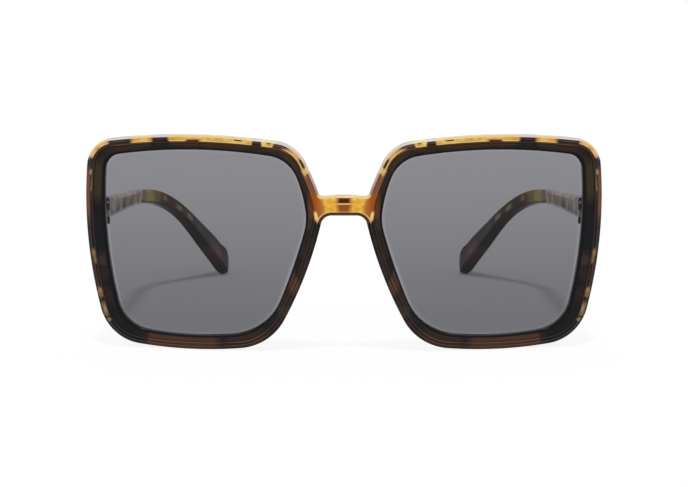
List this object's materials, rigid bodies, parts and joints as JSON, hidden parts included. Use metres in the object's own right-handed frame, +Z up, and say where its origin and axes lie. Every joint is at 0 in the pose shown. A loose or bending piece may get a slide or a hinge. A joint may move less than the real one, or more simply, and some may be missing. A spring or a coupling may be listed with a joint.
{
  "type": "oversized sunglasses",
  "caption": "Oversized squared sunglasses: a curved mottled plastic front with grey tinted lenses, bonded nose pads, and slim temples that fold inward on barrel hinges.",
  "frame": {"origin": "on the table, under the middle of the object's outer box with the temples open", "axes": "+X to the wearer's left, the front faces -Y and the temples run back along +Y, +Z up; node names take left and right from the wearer"},
  "size_m": [0.1462, 0.1466, 0.0606],
  "materials": {
    "tortoise": "polished mottled brown and amber plastic",
    "lens": "clear grey tint, polished",
    "hinge_metal": "plain metal, lightly brushed"
  },
  "bodies": {
    "front": {"front_frame": "tortoise", "lens_left": "lens", "lens_right": "lens", "nose_pad_left": "tortoise", "nose_pad_right": "tortoise", "front_hinge_leaf_left": "hinge_metal", "front_hinge_leaf_right": "hinge_metal", "hinge_screw_left": "hinge_metal", "hinge_screw_right": "hinge_metal"},
    "temple_left": {"temple_left": "tortoise", "temple_hinge_leaf_left": "hinge_metal"},
    "temple_right": {"temple_right": "tortoise", "temple_hinge_leaf_right": "hinge_metal"}
  },
  "joints": [
    {"name": "temple_left_fold", "type": "hinge", "parent": "front", "child": "temple_left", "pos_m": [0.06868, -0.05534, 0.03698], "axis": [0, 0, 1], "range_deg": [0, 80]},
    {"name": "temple_right_fold", "type": "hinge", "parent": "front", "child": "temple_right", "pos_m": [-0.06868, -0.05534, 0.03698], "axis": [0, 0, -1], "range_deg": [0, 68]}
  ]
}
